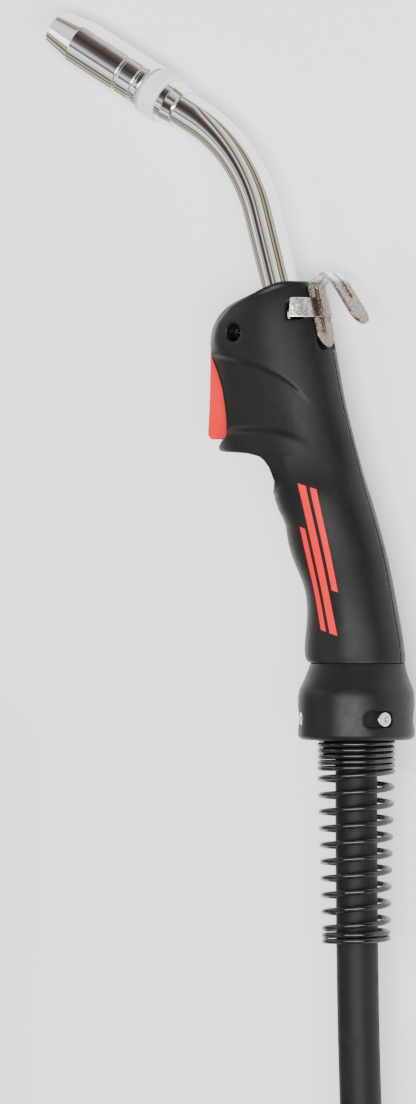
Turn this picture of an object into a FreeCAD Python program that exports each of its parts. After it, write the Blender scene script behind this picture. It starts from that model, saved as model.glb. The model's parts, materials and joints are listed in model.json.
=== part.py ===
import FreeCAD, Part
import math
import os

"""MIG welding torch lying on its side, with its coaxial cable and central connector.

Every piece is built in the torch's own frame in millimetres: X from the trigger side to the back of the
handle, Y from the cable end up the handle, Z across the handle's parting plane. One placement then lays
the torch on the floor. The cable, its coil and the connector are built in the floor frame, +Z up.
"""

# ---- driving dimensions of the torch ----
WALL = 2.5
SEAM_Y = 31.7
COLLAR_R = 24.2
COLLAR_BORE = 21.6
SPIGOT_R = 17.0
SPIGOT_BORE = 14.5
CABLE_R = 8.8
FIT = 0.05

NECK_R = 8.3
NECK_BEND = 68.0
NECK_CORNER = (-53.5, 245.5)
NECK_LEAN = 15.9
NOZZLE_LEAN = 60.0
NECK_LOW = 110.7
NOZZLE_R = 11.0
NOZZLE_MOUTH_R = 8.6
NOZZLE_LONG = 53.9
TIP_TO_CORNER = 108.3

PIN_X, PIN_Y = -57.5, 160.2
TRIGGER_HALF = 8.0
SCREW_X, SCREW_Y = -49.2, 169.2
PLUNGER_Y = 139.0
WINDOW_ANGLES = (-126.0, -54.0, 54.0, 126.0)
WINDOW_Y = 8.7
SPRING_WIRE_R = 1.15

# handle sections: height, front, back, half thickness
HANDLE_SECTIONS = (
    (SEAM_Y, -19.6, 21.0, 18.0),
    (50.0, -21.5, 18.7, 17.0),
    (70.0, -26.1, 14.5, 16.3),
    (91.0, -32.4, 8.3, 16.3),
    (104.0, -40.0, 3.8, 16.6),
    (114.0, -60.0, 0.8, 17.0),
    (124.0, -67.0, -2.2, 17.4),
    (141.0, -68.0, -7.1, 18.0),
    (162.0, -72.0, -11.6, 18.4),
    (174.0, -72.0, -14.3, 18.2),
    (183.0, -68.0, -16.6, 17.2),
    (190.6, -58.0, -19.5, 14.0),
)

# ---- where the torch and its cable lie on the floor ----
TILT = 2.2
REAR = (63.62, -111.5, 24.92)
COIL_CENTRE = (-35.6, -394.5)
COIL_MIDDLE = 90.5
TURN_GAP = 17.6
COIL_HEIGHT = 32.8
PLUG_REAR = (-159.3, -194.5, 23.2)

LEAD_ROUTE = (
    REAR,
    (63.62, -206.43, 28.57),
    (63.9, -301.5, 26.6),
    (63.7, -356.0, 24.2),
)
TAIL_ROUTE = (
    (-143.7, -373.5, 8.8),
    (-143.9, -339.5, 9.0),
    (-150.3, -289.5, 15.2),
    (-159.3, -239.5, 23.2),
    (-159.3, -194.5, 23.2),
)


def v(x, y, z=0.0):
    return FreeCAD.Vector(x, y, z)


# ---- general shapes ----
def turned(profile, start, direction):
    """Solid of revolution from (radius, distance) points along an axis."""
    points = [v(r, 0, s) for r, s in profile]
    face = Part.Face(Part.makePolygon(points + points[:1]))
    solid = face.revolve(v(0, 0, 0), v(0, 0, 1), 360)
    solid.Placement = FreeCAD.Placement(start, FreeCAD.Rotation(v(0, 0, 1), direction))
    return solid


def pipe(outer, inner, low, high, start, direction):
    """Straight tube between two distances along an axis."""
    return turned([(inner, low), (outer, low), (outer, high), (inner, high)], start, direction)


def rod(radius, low, high, start, direction):
    return Part.makeCylinder(radius, high - low, start + direction * low, direction)


def block(low, high):
    """Box between two corners."""
    return Part.makeBox(high[0] - low[0], high[1] - low[1], high[2] - low[2], v(*low))


def slab(points, low, high):
    """Flat outline in the XY plane made solid between two Z levels."""
    corners = [v(x, y, low) for x, y in points]
    return Part.Face(Part.makePolygon(corners + corners[:1])).extrude(v(0, 0, high - low))


def hexagon(across_flats, low, high, start, direction):
    corner = across_flats / math.sqrt(3)
    points = [v(corner * math.cos(k * math.pi / 3), corner * math.sin(k * math.pi / 3), low) for k in range(6)]
    prism = Part.Face(Part.makePolygon(points + points[:1])).extrude(v(0, 0, high - low))
    prism.Placement = FreeCAD.Placement(start, FreeCAD.Rotation(v(0, 0, 1), direction))
    return prism


def rounded_path(points, bend=None, radii=None):
    """Straight runs joined by tangent arcs; without a bend each arc is as large as its runs allow."""
    points = [v(*p) for p in points]
    edges = []
    last = points[0]
    for before, corner, after in zip(points, points[1:], points[2:]):
        back = before - corner
        ahead = after - corner
        shorter = min(back.Length, ahead.Length)
        back.normalize()
        ahead.normalize()
        half_turn = (math.pi - back.getAngle(ahead)) / 2
        radius = bend or 0.45 * shorter / math.tan(half_turn)
        if radii is not None:
            radii.append(radius)
        reach = radius * math.tan(half_turn)
        inward = back + ahead
        inward.normalize()
        middle = corner + inward * (radius / math.cos(half_turn) - radius)
        start = corner + back * reach
        end = corner + ahead * reach
        edges.append(Part.LineSegment(last, start).toShape())
        edges.append(Part.Arc(start, middle, end).toShape())
        last = end
    edges.append(Part.LineSegment(last, points[-1]).toShape())
    return Part.Wire(edges)


def swept(path, radius):
    """Round bar along a path."""
    first = path.Edges[0]
    start = first.valueAt(first.FirstParameter)
    along = first.tangentAt(first.FirstParameter)
    ring = Part.Wire([Part.Circle(start, along, radius).toShape()])
    return path.makePipeShell([ring], True, False)


def helix_spring(stages, wire_r, start, direction):
    """Coil spring from (pitch, turns, first radius, last radius) stages of its wire's centre line."""
    height = 0.0
    angle = 0.0
    spring = None
    for pitch, turns, first_r, last_r in stages:
        rise = pitch * turns
        helix = Part.makeHelix(pitch, rise, first_r, math.degrees(math.atan2(last_r - first_r, rise)))
        helix.rotate(v(0, 0, 0), v(0, 0, 1), angle)
        helix.translate(v(0, 0, height))
        first = helix.Edges[0]
        at = first.valueAt(first.FirstParameter)
        along = first.tangentAt(first.FirstParameter)
        ring = Part.Wire([Part.Circle(at, along, wire_r).toShape()])
        coils = Part.Wire(helix.Edges).makePipeShell([ring], True, True)
        spring = coils if spring is None else spring.fuse(coils)
        height += rise
        angle += 360.0 * turns
    spring = spring.Solids[0]
    spring.Placement = FreeCAD.Placement(start, FreeCAD.Rotation(v(0, 0, 1), direction))
    return spring


# ---- the neck's axis ----
CORNER = v(*NECK_CORNER)
TO_NOZZLE = v(-math.sin(math.radians(NOZZLE_LEAN)), math.cos(math.radians(NOZZLE_LEAN)))
TO_HANDLE = v(math.sin(math.radians(NECK_LEAN)), -math.cos(math.radians(NECK_LEAN)))
TIP = CORNER + TO_NOZZLE * TIP_TO_CORNER
FROM_TIP = TO_NOZZLE * -1


def neck_path(from_tip, below_corner):
    """Centre line of the swan neck, from a distance behind the tip to one below the bend's corner."""
    front = TIP + FROM_TIP * from_tip
    low = CORNER + TO_HANDLE * below_corner
    return rounded_path([tuple(low), tuple(CORNER), tuple(front)], bend=NECK_BEND)


def neck_layer(outer, inner, from_tip, below_corner):
    path = neck_path(from_tip, below_corner)
    return swept(path, outer).cut(swept(path, inner))


def neck_pieces():
    pieces = {}
    pieces["swan_neck_tube"] = neck_layer(NECK_R, 7.3, 66.0, NECK_LOW)
    pieces["neck_insulation"] = neck_layer(7.2, 5.7, 64.0, NECK_LOW + 1.5)
    pieces["neck_inner_tube"] = neck_layer(5.6, 3.6, 52.0, 150.0)
    pieces["neck_liner"] = neck_layer(2.3, 1.2, 38.0, 160.0)
    pieces["neck_collar"] = turned(
        [(8.35, 63.2), (9.3, 63.2), (9.65, 63.6), (9.65, 67.0), (8.9, 71.6), (8.7, 72.2), (8.35, 72.2)],
        TIP, FROM_TIP)
    socket = [(5.65, 113.0), (7.6, 113.0), (8.0, 113.6), (8.0, 152.9), (2.5, 152.9), (2.5, 150.0), (5.65, 150.0)]
    pieces["neck_socket"] = turned(socket, CORNER, TO_HANDLE)
    nut = hexagon(19.0, 153.0, 163.0, CORNER, TO_HANDLE)
    pieces["neck_nut"] = nut.cut(rod(5.0, 152.0, 164.0, CORNER, TO_HANDLE))
    ferrule = [(2.5, 153.2), (4.95, 153.2), (4.95, 163.1), (7.8, 163.1), (7.8, 187.0), (5.55, 187.0), (5.55, 167.0),
               (2.5, 167.0)]
    pieces["cable_ferrule"] = turned(ferrule, CORNER, TO_HANDLE)
    return pieces


# ---- nozzle end ----
def gas_nozzle():
    outline = [
        (7.3, 0.0), (8.3, 0.0), (NOZZLE_MOUTH_R, 0.3), (NOZZLE_R, 14.1),
        (NOZZLE_R, 40.6), (10.5, 40.8), (10.5, 42.0), (NOZZLE_R, 42.2),
        (NOZZLE_R, 49.6), (10.5, 49.8), (10.5, 51.0), (NOZZLE_R, 51.2),
        (NOZZLE_R, 53.4), (10.5, NOZZLE_LONG), (9.0, NOZZLE_LONG), (9.0, 14.5), (7.3, 6.0),
    ]
    return turned(outline, TIP, FROM_TIP)


def nozzle_end_pieces():
    pieces = {}
    insulator = [
        (6.45, 38.2), (8.7, 38.2), (9.0 - FIT, 38.5), (9.0 - FIT, 40.5), (7.9, 40.5), (7.9, 46.0),
        (9.0 - FIT, 46.0), (9.0 - FIT, 54.0), (9.6, 54.0), (NOZZLE_R, 55.6), (NOZZLE_R, 62.6), (10.4, 63.2),
        (6.45, 63.2),
    ]
    pieces["nozzle_insulator"] = turned(insulator, TIP, FROM_TIP)
    pieces["nozzle_spring"] = Part.makeTorus(8.43, 0.5, TIP + FROM_TIP * 43.2, FROM_TIP, 0, 360, 340)
    diffuser = pipe(8.2, 5.3, 29.0, 37.6, TIP, FROM_TIP)
    for k in range(6):
        turn = FreeCAD.Rotation(FROM_TIP, 60.0 * k)
        hole = rod(1.0, 4.0, 9.0, TIP + FROM_TIP * 33.0, turn.multVec(v(0, 0, 1)))
        diffuser = diffuser.cut(hole)
    pieces["gas_diffuser"] = diffuser
    holder = [(3.0, 28.0), (4.9, 28.0), (5.2, 28.4), (5.2, 37.8), (6.35, 37.8), (6.35, 52.0), (2.4, 52.0),
              (2.4, 38.0), (3.0, 38.0)]
    pieces["tip_holder"] = turned(holder, TIP, FROM_TIP)
    tip = [(0.6, 3.0), (2.4, 3.0), (4.0, 7.5), (4.0, 28.0), (2.95, 28.0), (2.95, 37.0), (1.3, 37.0), (1.3, 21.0),
           (0.6, 20.0)]
    pieces["contact_tip"] = turned(tip, TIP, FROM_TIP)
    return pieces


# ---- handle ----
def section(height, front, back, half, inset=0.0):
    """Elliptical section of the handle at one height."""
    ellipse = Part.Ellipse(v(0, 0, 0), (back - front) / 2 - inset, half - inset).toShape()
    ellipse.rotate(v(0, 0, 0), v(1, 0, 0), 90)
    ellipse.translate(v((front + back) / 2, height, 0))
    return Part.Wire([ellipse])


def handle_body(inset):
    return Part.makeLoft([section(*row, inset) for row in HANDLE_SECTIONS], True, False)


def outline_face(stretches):
    """Closed side outline from curved stretches, each joined to the next by a straight line."""
    edges = []
    for stretch, following in zip(stretches, stretches[1:] + stretches[:1]):
        points = [v(*p) for p in stretch]
        if len(points) == 3:
            edges.append(Part.Arc(*points).toShape())
        elif len(points) > 3:
            curve = Part.BSplineCurve()
            curve.interpolate(points)
            edges.append(curve.toShape())
        edges.append(Part.LineSegment(points[-1], v(*following[0])).toShape())
    return Part.Face(Part.Wire(edges))


def outer_outline():
    """Trigger guard, trigger recess and head; elsewhere the outline stands clear of the body."""
    under_guard = [(-35.0, 108.5), (-38.1, 115.2), (-45.9, 118.9)]
    guard_nose = [(-61.6, 119.7), (-63.2, 121.0), (-61.8, 122.6)]
    recess = [(-55.6, 126.6), (-57.4, 144.5), (-64.0, 159.8)]
    head = [(-66.6, 161.6), (-69.3, 166.5), (-67.2, 173.0), (-59.3, 180.3), (-50.1, 183.9), (-36.0, 189.2),
            (-24.0, 190.5)]
    clear = [[(30, 190.5)], [(30, 20)], [(-45, 20)], [(-45, 90)], [(-38.5, 98)], [(-34.7, 103.5)]]
    return outline_face([under_guard, guard_nose, recess, head] + clear)


def inner_outline():
    """The same outline one wall further in."""
    under_guard = [(-32.5, 109.0), (-36.2, 116.9), (-45.6, 121.4)]
    recess = [(-53.1, 126.4), (-54.9, 144.0), (-61.7, 158.8)]
    head = [(-64.3, 161.8), (-66.8, 166.5), (-64.8, 172.2), (-57.9, 178.1), (-49.3, 181.5), (-35.3, 186.7),
            (-24.0, 188.0)]
    clear = [[(30, 188.0)], [(30, 20)], [(-42.5, 20)], [(-42.5, 89)], [(-36.0, 97.3)], [(-32.2, 104)]]
    return outline_face([under_guard, [(-53.3, 121.9)], recess, head] + clear)


def prism(face, half):
    base = face.copy()
    base.translate(v(0, 0, -half))
    return base.extrude(v(0, 0, 2 * half))


def hook_pocket(grow):
    """Flat pocket for the hook's leg in the back of the handle."""
    return slab([(-14.8 - grow, 161.9 - grow), (-21.4 - grow, 191.6), (2, 191.6), (2, 161.9 - grow)],
                -6.6 - grow, 6.6 + grow)


def collar_window(angle):
    """Racetrack window through the collar's wall."""
    radius = 3.5
    window = Part.makeCylinder(radius, 12, v(-3, WINDOW_Y, 15), v(0, 0, 1))
    window = window.fuse(Part.makeCylinder(radius, 12, v(3, WINDOW_Y, 15), v(0, 0, 1)))
    window = window.fuse(block((-3, WINDOW_Y - radius, 15), (3, WINDOW_Y + radius, 27)))
    window.rotate(v(0, WINDOW_Y, 0), v(0, 1, 0), angle)
    return window


def handle_cavity():
    """Space inside the handle, less the ribs, bosses and posts that stand in it."""
    cavity = handle_body(WALL).common(prism(inner_outline(), 25.0))
    cavity = cavity.common(block((-80, SEAM_Y + WALL, -25), (30, 187.0, 25)))
    cavity = cavity.cut(hook_pocket(WALL))
    neck_rib = block((-33, 151, -25), (0, 154, 25))
    ferrule_rib = block((-17, 80, -25), (20, 83, 25))
    cavity = cavity.cut(neck_rib).cut(ferrule_rib)
    cavity = cavity.cut(rod(5.2, -25, 25, v(SCREW_X, SCREW_Y), v(0, 0, 1)))
    for side in (-1, 1):
        along = v(0, 0, side)
        cavity = cavity.cut(rod(3.6, TRIGGER_HALF + 0.5, 25, v(PIN_X, PIN_Y), along))
        for x, y in ((-39.5, 131.5), (-46.5, 146.5)):
            cavity = cavity.cut(rod(2.4, 5.1, 25, v(x, y), along))
    return cavity


def handle_shells():
    outer = handle_body(0.0).common(prism(outer_outline(), 25.0))
    outer = outer.fuse(rod(SPIGOT_R, 14.2, SEAM_Y + 1.0, v(0, 0), v(0, 1)))
    outer = outer.cut(rod(SPIGOT_BORE, 14.0, SEAM_Y + WALL + 1.0, v(0, 0), v(0, 1)))
    shells = outer.cut(handle_cavity())
    shells = shells.cut(rod(NECK_R + FIT, 55.0, NECK_LOW + 1.0, CORNER, TO_HANDLE))
    shells = shells.cut(rod(7.85, 155.0, 190.0, CORNER, TO_HANDLE))
    shells = shells.cut(block((-72, 123.4, -8.4), (-50.5, 163.4, 8.4)))
    shells = shells.cut(hook_pocket(0.0))
    for side in (-1, 1):
        low, high = sorted((side * 9.0, side * 22.0))
        shells = shells.cut(block((-25.7, 174.5, low), (-19.5, 181.8, high)))
    shells = shells.cut(ear_band(0.3))
    shells = shells.cut(rod(1.55, -11.6, 11.6, v(PIN_X, PIN_Y), v(0, 0, 1)))
    shells = shells.cut(rod(2.1, -14, 14, v(SCREW_X, SCREW_Y), v(0, 0, 1)))
    shells = shells.cut(rod(3.6, 9.0, 25, v(SCREW_X, SCREW_Y), v(0, 0, 1)))
    shells = shells.cut(hexagon(7.1, -25.0, -8.0, v(SCREW_X, SCREW_Y), v(0, 0, 1)))
    near = shells.common(block((-90, 0, 0), (40, 200, 30)))
    far = shells.common(block((-90, 0, -30), (40, 200, 0)))
    return near, far


def handle_screw():
    screw = rod(3.5, 9.0, 11.6, v(SCREW_X, SCREW_Y), v(0, 0, 1))
    screw = screw.fuse(rod(1.98, -11.0, 9.0, v(SCREW_X, SCREW_Y), v(0, 0, 1)))
    return screw.cut(hexagon(3.0, 10.0, 12.0, v(SCREW_X, SCREW_Y), v(0, 0, 1)))


def handle_nut():
    nut = hexagon(7.0, -11.2, -8.0, v(SCREW_X, SCREW_Y), v(0, 0, 1))
    return nut.cut(rod(2.0, -12, -7, v(SCREW_X, SCREW_Y), v(0, 0, 1)))


# ---- hook ----
def ear_band(grow):
    """Two ears that wrap from the hook's leg round the sides of the head."""
    low_y, lean, rise = 175.3 - grow, -2.2, 8.3 + 2 * grow
    outer = Part.Face(section(low_y, -70.6, -13.6, 19.3, -grow))
    inner = Part.Face(section(low_y, -70.6, -13.6, 19.3, 1.3))
    band = outer.cut(inner).extrude(v(lean, rise, 0))
    return band.common(block((-24.0 - grow, 170, -25), (0, 190, 25)))


def suspension_hook():
    centre = [(-13.9, 162.9), (-19.6, 188.6), (-13.4, 194.6), (-8.0, 190.0), (4.2, 172.6)]
    first = v(*centre[0])
    along = v(*centre[1]) - first
    along.normalize()
    across = v(along.y, -along.x) * 0.75
    corners = [first + across + v(0, 0, 6.25), first - across + v(0, 0, 6.25),
               first - across - v(0, 0, 6.25), first + across - v(0, 0, 6.25)]
    strip = rounded_path([(x, y, 0) for x, y in centre], bend=3.0)
    strip = strip.makePipeShell([Part.makePolygon(corners + corners[:1])], True, False)
    hook = strip.fuse(ear_band(0.0))
    for side in (-1, 1):
        low, high = sorted((side * 10.2, side * 13.6))
        hook = hook.fuse(block((-24.0, 176.2, low), (-22.4, 180.6, high)))
    return hook.removeSplitter()


# ---- rear of the handle ----
def rear_collar():
    flare = Part.makeLoft([section(SEAM_Y, -19.6, 21.0, 18.0), section(27.0, -20.9, 21.6, 20.6),
                           section(20.5, -23.9, 24.0, 23.9)], True, False)
    barrel = turned([(0, 0), (22.8, 0), (COLLAR_R, 1.4), (COLLAR_R, 19.2), (23.8, 20.5), (0, 20.5)], v(0, 0),
                    v(0, 1))
    collar = barrel.fuse(flare)
    collar = collar.cut(rod(COLLAR_BORE, -1, 20.0, v(0, 0), v(0, 1)))
    collar = collar.cut(rod(SPIGOT_R + 0.1, 19, SEAM_Y + 1, v(0, 0), v(0, 1)))
    for angle in WINDOW_ANGLES:
        collar = collar.cut(collar_window(angle))
    return collar


def screw_directions():
    """The collar's screws sit towards one end of their windows."""
    for angle in WINDOW_ANGLES:
        turn = math.radians(angle + 7.2)
        yield v(math.sin(turn), 0, math.cos(turn))


def collar_screws():
    screws = []
    for out in screw_directions():
        screw = rod(1.5, 13.9, 21.5, v(0, WINDOW_Y), out)
        screw = screw.fuse(rod(3.0, 21.5, 23.4, v(0, WINDOW_Y), out))
        screws.append(screw.cut(hexagon(2.2, 22.3, 24.0, v(0, WINDOW_Y), out)))
    return Part.makeCompound(screws)


def cable_support():
    outline = [
        (CABLE_R + FIT, -8.0), (13.7, -8.0), (13.7, 4.9), (16.6, 4.9), (16.6, 0.8), (21.0, 0.8), (21.5, 1.3),
        (21.5, 13.6), (SPIGOT_BORE - 0.1, 13.6), (SPIGOT_BORE - 0.1, 22.0), (CABLE_R + FIT, 22.0),
    ]
    support = turned(outline, v(0, 0), v(0, 1))
    for out in screw_directions():
        support = support.cut(rod(1.55, 13.8, 22, v(0, WINDOW_Y), out))
    return support


def bend_spring():
    stages = [(2.42, 8.0, 15.15, 15.15), (6.75, 9.0, 15.15, 13.25), (2.45, 2.5, 13.25, 13.25)]
    return helix_spring(stages, SPRING_WIRE_R, v(0, 3.6), v(0, -1))


def cable_core():
    low = v(0, 38.0)
    bend = CORNER + TO_HANDLE * 195.3
    high = CORNER + TO_HANDLE * 168.0
    path = rounded_path([tuple(low), (0.0, bend.y, 0.0), tuple(high)], bend=60.0)
    return swept(path, 5.5).cut(swept(path, 2.5))


def control_wires():
    wires = []
    for x, z in ((-42.9, 1.7), (-38.1, -1.7)):
        route = [(x, 125.0), (x + 1.3, 121.8), (0.3 * x - 21.5, 117.3), (-30.3, 109.0), (-26.0, 98.0),
                 (-23.6, 86.0), (-19.0, 70.0), (-13.0, 55.0), (-7.2, 46.5), (-7.0, 38.05)]
        path = rounded_path([(px, py, z) for px, py in route])
        wires.append(swept(path, 0.8))
    return Part.makeCompound(wires)


# ---- trigger and switch ----
def trigger_lever():
    front = Part.Arc(v(-66.6, 162.0), v(-66.8, 144.0), v(-67.8, 126.8)).toShape()
    chain = [v(-67.8, 126.8), v(-66.2, 124.9), v(-57.2, 124.9), v(-54.7, 127.0), v(-54.4, 139.0), v(-55.2, 152.0),
             v(-53.9, 160.2), v(-57.5, 163.6), v(-61.5, 163.2), v(-66.6, 162.0)]
    edges = [front] + [Part.LineSegment(a, b).toShape() for a, b in zip(chain, chain[1:])]
    lever = prism(Part.Face(Part.Wire(edges)), TRIGGER_HALF)
    for low, high in ((-6.0, -1.3), (1.3, 6.0)):
        lever = lever.cut(block((-64.6, 127.0, low), (-50, 153.0, high)))
    return lever.cut(rod(1.55, -9, 9, v(PIN_X, PIN_Y), v(0, 0, 1)))


def trigger_pin():
    return rod(1.5, -11.5, 11.5, v(PIN_X, PIN_Y), v(0, 0, 1))


def switch_body():
    case = block((-49.5, 128.0, -5.0), (-36.5, 150.0, 5.0))
    case = case.cut(block((-48.3, 129.2, -3.8), (-37.7, 148.8, 3.8)))
    case = case.cut(rod(1.56, -2, 2, v(-49.5, PLUNGER_Y), v(1, 0)))
    case = case.cut(block((-43.3, 127, -1.55), (-42.5, 130, 1.55)))
    return case.cut(block((-38.5, 127, -1.55), (-37.7, 130, 1.55)))


def switch_plunger():
    axis = v(-54.1, PLUNGER_Y)
    stem = turned([(0, 0), (1.1, 0), (1.5, 0.4), (1.5, 6.0), (3.0, 6.0), (3.0, 12.1), (2.3, 12.1), (2.3, 7.2),
                   (0, 7.2)], axis, v(1, 0))
    return stem


def contact_bridge():
    bar = block((-46.1, 131.0, -3.6), (-45.6, 147.0, 3.6))
    return bar.cut(rod(3.02, -9, -7, v(-38, PLUNGER_Y), v(1, 0)))


def switch_spring():
    return helix_spring([(0.9, 6.0, 1.8, 1.8)], 0.22, v(-38.75, PLUNGER_Y), v(-1, 0))


def switch_contacts():
    front = block((-43.2, 125.0, -1.5), (-42.6, 134.5, 1.5))
    top = block((-43.2, 148.0, -1.5), (-37.8, 148.6, 1.5))
    pad = block((-43.2, 143.5, -1.5), (-42.6, 148.0, 1.5))
    back = block((-38.4, 125.0, -1.5), (-37.8, 148.0, 1.5))
    return Part.makeCompound([front, top.fuse(pad).fuse(back).removeSplitter()])


# ---- cable ----
def cable_coil():
    """Closed ring with the outer shape of the tied coil."""
    low_in = COIL_MIDDLE - TURN_GAP - CABLE_R
    low_out = COIL_MIDDLE + TURN_GAP + CABLE_R
    half_layer = TURN_GAP / 2
    outline = [(low_in, 0), (low_out, 0), (low_out, 12.0), (low_out - half_layer, COIL_HEIGHT),
               (low_in + half_layer, COIL_HEIGHT), (low_in, 12.0)]
    return turned(outline, v(*COIL_CENTRE), v(0, 0, 1))


def coil_ties():
    """Two straps round the coil's section."""
    low_in = COIL_MIDDLE - TURN_GAP - CABLE_R
    low_out = COIL_MIDDLE + TURN_GAP + CABLE_R
    ties = []
    for angle in (35.0, 125.0):
        strap = block((low_in - 1.6, -6.0, 0.0), (low_out + 1.6, 6.0, COIL_HEIGHT + 1.6))
        strap = strap.cut(block((low_in, -7.0, 1.2), (low_out, 7.0, COIL_HEIGHT)))
        strap.rotate(v(0, 0, 0), v(0, 0, 1), angle)
        strap.translate(v(*COIL_CENTRE))
        ties.append(strap)
    return Part.makeCompound(ties)


def cable_tube(name, route):
    radii = []
    path = rounded_path(route, radii=radii)
    tube = swept(path, CABLE_R)
    share = tube.Volume / (math.pi * CABLE_R ** 2 * path.Length)
    print(name, "length", round(path.Length, 1), "radii", [round(r) for r in radii], "volume share", round(share, 4))
    return tube


# ---- connector ----
PLUG = v(*PLUG_REAR)
AHEAD = v(0, 1, 0)


def plug_screw_places():
    return [PLUG + AHEAD * w + v(0, 0, 13.9) for w in (16.0, 46.0)]


def plug_shells():
    outline = [
        (15.0, 0.0), (16.6, 0.0), (17.2, 0.6), (19.0, 18.0), (19.0, 65.4), (18.4, 66.0), (10.3, 66.0), (10.3, 62.0),
        (16.4, 62.0), (16.4, 10.0), (9.0, 8.0), (9.0, 4.6), (15.0, 4.6),
    ]
    casing = turned(outline, PLUG, AHEAD)
    within = rod(18.9, 9.0, 66.0, PLUG, AHEAD)
    for at in plug_screw_places():
        casing = casing.fuse(rod(3.3, -12, 12, at, v(1, 0, 0)).common(within))
        casing = casing.cut(rod(1.7, -13, 13, at, v(1, 0, 0)))
        casing = casing.cut(rod(2.9, 8.0, 25, at, v(1, 0, 0)))
    left = casing.common(block((PLUG.x - 30, PLUG.y - 5, -10), (PLUG.x, PLUG.y + 80, 60)))
    right = casing.common(block((PLUG.x, PLUG.y - 5, -10), (PLUG.x + 30, PLUG.y + 80, 60)))
    return left, right


def plug_screws():
    screws = []
    for at in plug_screw_places():
        screw = rod(2.8, 8.0, 10.2, at, v(1, 0, 0)).fuse(rod(1.65, -9.0, 8.0, at, v(1, 0, 0)))
        screws.append(screw.cut(hexagon(2.4, 9.0, 11.0, at, v(1, 0, 0))))
    return Part.makeCompound(screws)


def plug_nut():
    nut = turned([(10.5, 66.5), (21.0, 66.5), (21.6, 67.1), (21.6, 96.4), (21.0, 97.0), (17.6, 97.0),
                  (17.6, 69.8), (10.5, 69.8)], PLUG, AHEAD)
    for k in range(12):
        turn = FreeCAD.Rotation(AHEAD, 30.0 * k + 15.0)
        rib = rod(2.8, 69.0, 95.0, PLUG + turn.multVec(v(0, 0, 20.2)), AHEAD)
        nut = nut.fuse(rib.cut(rod(20.5, 60.0, 100.0, PLUG, AHEAD)))
    return nut


def plug_pieces():
    pieces = {}
    pieces["plug_bend_spring"] = helix_spring(
        [(2.45, 3.5, 13.25, 13.25), (6.4, 5.0, 13.25, 12.6), (2.45, 2.5, 12.6, 12.6)],
        SPRING_WIRE_R, PLUG + AHEAD * 3.3, AHEAD * -1)
    pieces["plug_shell_left"], pieces["plug_shell_right"] = plug_shells()
    pieces["plug_screws"] = plug_screws()
    pieces["plug_crimp"] = turned([(2.5, 0.0), (8.8, 0.0), (8.8, 12.0), (10.2, 13.0), (10.2, 40.0), (2.5, 40.0)],
                                  PLUG, AHEAD)
    pieces["plug_body"] = turned(
        [(2.5, 40.0), (10.2, 40.0), (10.2, 54.0), (14.0, 54.0), (14.0, 61.8), (10.2, 61.8), (10.2, 70.1),
         (15.8, 70.1), (15.8, 74.0), (6.9, 74.0), (6.9, 88.0), (2.5, 88.0)], PLUG, AHEAD)
    insulator = pipe(16.8, 6.95, 74.1, 88.0, PLUG, AHEAD)
    for side in (-1, 1):
        insulator = insulator.cut(rod(2.0, 74.6, 89.0, PLUG + v(10.5 * side, 0, 0), AHEAD))
    pieces["plug_insulator"] = insulator
    pieces["plug_wire_pin"] = turned(
        [(1.6, 88.0), (5.0, 88.0), (5.0, 90.4), (3.9, 90.4), (3.9, 92.6), (5.0, 92.6), (5.0, 117.4), (4.4, 118.0),
         (1.6, 118.0)], PLUG, AHEAD)
    pieces["plug_o_ring"] = Part.makeTorus(4.6, 0.65, PLUG + AHEAD * 91.5, AHEAD)
    nut = hexagon(7.6, 118.0, 123.0, PLUG, AHEAD)
    pieces["liner_nut"] = nut.cut(rod(1.2, 117.0, 124.0, PLUG, AHEAD))
    springs = []
    for side, name in ((-1, "control_pin_left"), (1, "control_pin_right")):
        at = PLUG + v(10.5 * side, 0, 0)
        pieces[name] = turned([(0, 80.0), (1.95, 80.0), (1.95, 92.2), (1.2, 93.0), (0, 93.0)], at, AHEAD)
        springs.append(helix_spring([(0.7, 2.6, 1.5, 1.5)], 0.2, at + AHEAD * 74.9, AHEAD))
    pieces["control_pin_springs"] = Part.makeCompound(springs)
    pieces["plug_nut"] = plug_nut()
    return pieces


# ---- everything ----
def torch_pieces():
    pieces = {}
    pieces["handle_shell_near"], pieces["handle_shell_far"] = handle_shells()
    pieces["handle_screw"] = handle_screw()
    pieces["handle_nut"] = handle_nut()
    pieces["rear_collar"] = rear_collar()
    pieces["collar_screws"] = collar_screws()
    pieces["cable_support"] = cable_support()
    pieces["bend_spring"] = bend_spring()
    pieces["suspension_hook"] = suspension_hook()
    pieces["trigger_lever"] = trigger_lever()
    pieces["trigger_pin"] = trigger_pin()
    pieces["switch_body"] = switch_body()
    pieces["switch_plunger"] = switch_plunger()
    pieces["contact_bridge"] = contact_bridge()
    pieces["switch_spring"] = switch_spring()
    pieces["switch_contacts"] = switch_contacts()
    pieces["control_wires"] = control_wires()
    pieces["cable_core"] = cable_core()
    pieces["cable_entry"] = rod(CABLE_R, 0.0, 38.0, v(0, 0), v(0, 1))
    pieces["gas_nozzle"] = gas_nozzle()
    pieces.update(neck_pieces())
    pieces.update(nozzle_end_pieces())
    return pieces


def laid_down(pieces):
    """Lay the torch on the floor, tilted until its collar and its head both touch."""
    pose = FreeCAD.Placement(v(*REAR), FreeCAD.Rotation(v(1, 0, 0), -TILT))
    for shape in pieces.values():
        shape.Placement = pose.multiply(shape.Placement)
    return pieces


def report_origin(pieces):
    box = FreeCAD.BoundBox()
    for shape in pieces.values():
        box.add(shape.optimalBoundingBox(False, False))
    print("torch box centre", round(box.Center.x, 3), round(box.Center.y, 3), "floor", round(box.ZMin, 3))
    print("torch box size", [round(n, 2) for n in (box.XLength, box.YLength, box.ZLength)])


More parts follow.
